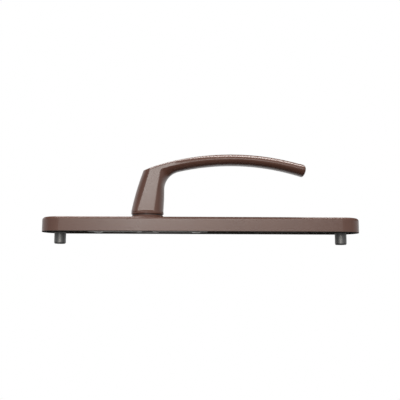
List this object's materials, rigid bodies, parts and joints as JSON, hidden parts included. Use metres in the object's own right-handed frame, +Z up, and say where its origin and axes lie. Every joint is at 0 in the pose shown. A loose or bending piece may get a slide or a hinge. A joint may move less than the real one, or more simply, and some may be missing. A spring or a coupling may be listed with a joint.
{
  "type": "lever door handle",
  "caption": "Door lever on a long narrow backplate with a profile-cylinder keyhole, a turning lever and threaded posts for through screws.",
  "frame": {"origin": "where the spindle's axis meets the back plane of the plate", "axes": "+Y into the door along the spindle, +Z up along the plate, +X across the plate"},
  "size_m": [0.028, 0.0631, 0.22],
  "materials": {
    "brown_paint": "semi-gloss",
    "zinc_plated_steel": "satin",
    "dark_steel": "satin",
    "black_acetal": "matt"
  },
  "bodies": {
    "plate": {"backplate": "brown_paint", "upper_post": "dark_steel", "lower_post": "dark_steel", "bush": "black_acetal", "support_plate": "zinc_plated_steel", "upper_support_screw": "zinc_plated_steel", "lower_support_screw": "zinc_plated_steel"},
    "lever": {"lever": "brown_paint", "spring_washer": "zinc_plated_steel", "stop_washer": "zinc_plated_steel", "snap_ring": "dark_steel"}
  },
  "joints": [
    {"name": "lever_turn", "type": "hinge", "parent": "plate", "child": "lever", "pos_m": [0, 0, 0], "axis": [0, 1, 0], "range_deg": [-135, 135]}
  ]
}
